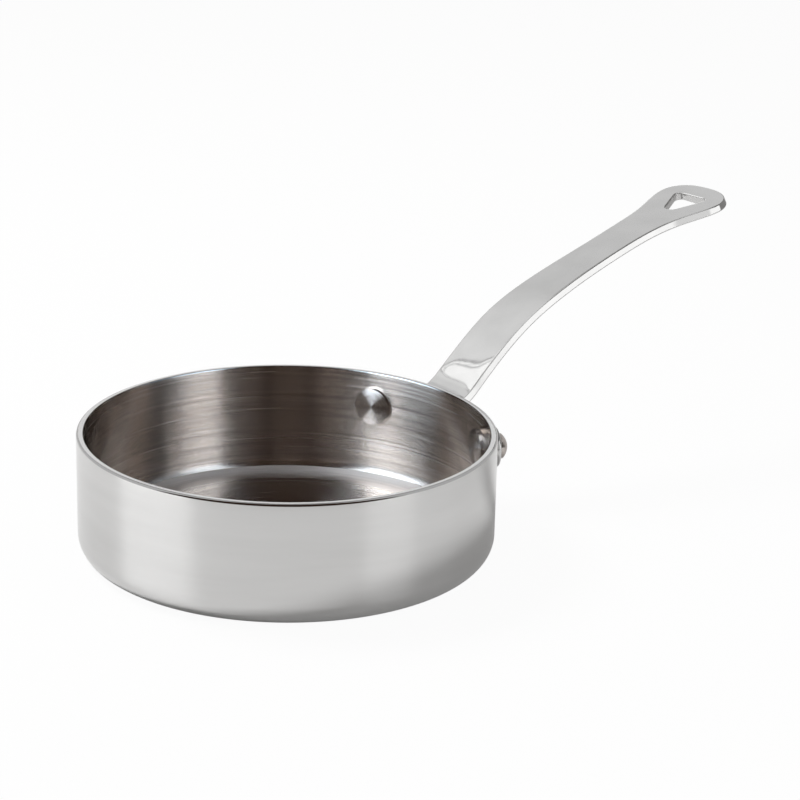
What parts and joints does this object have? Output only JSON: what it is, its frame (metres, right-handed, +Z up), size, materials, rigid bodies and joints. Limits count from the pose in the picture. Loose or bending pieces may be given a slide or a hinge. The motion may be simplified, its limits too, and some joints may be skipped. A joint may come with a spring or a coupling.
{
  "type": "saute pan",
  "caption": "Small straight-sided saute pan of clad steel with a riveted cast handle that rises to a flared end with a hanging hole.",
  "frame": {"origin": "centre of the base's underside", "axes": "+Z up out of the pan, +X from the pan's centre along the handle"},
  "size_m": [0.2348, 0.12, 0.0817],
  "materials": {
    "polished_steel": "polished",
    "core_aluminium": "mill",
    "brushed_steel": "brushed",
    "cast_steel": "polished casting",
    "rivet_steel": "turned"
  },
  "bodies": {
    "root": {"outer_shell": "polished_steel", "aluminium_core": "core_aluminium", "inner_liner": "brushed_steel", "handle": "cast_steel", "rivet_left": "rivet_steel", "rivet_right": "rivet_steel"}
  },
  "joints": []
}
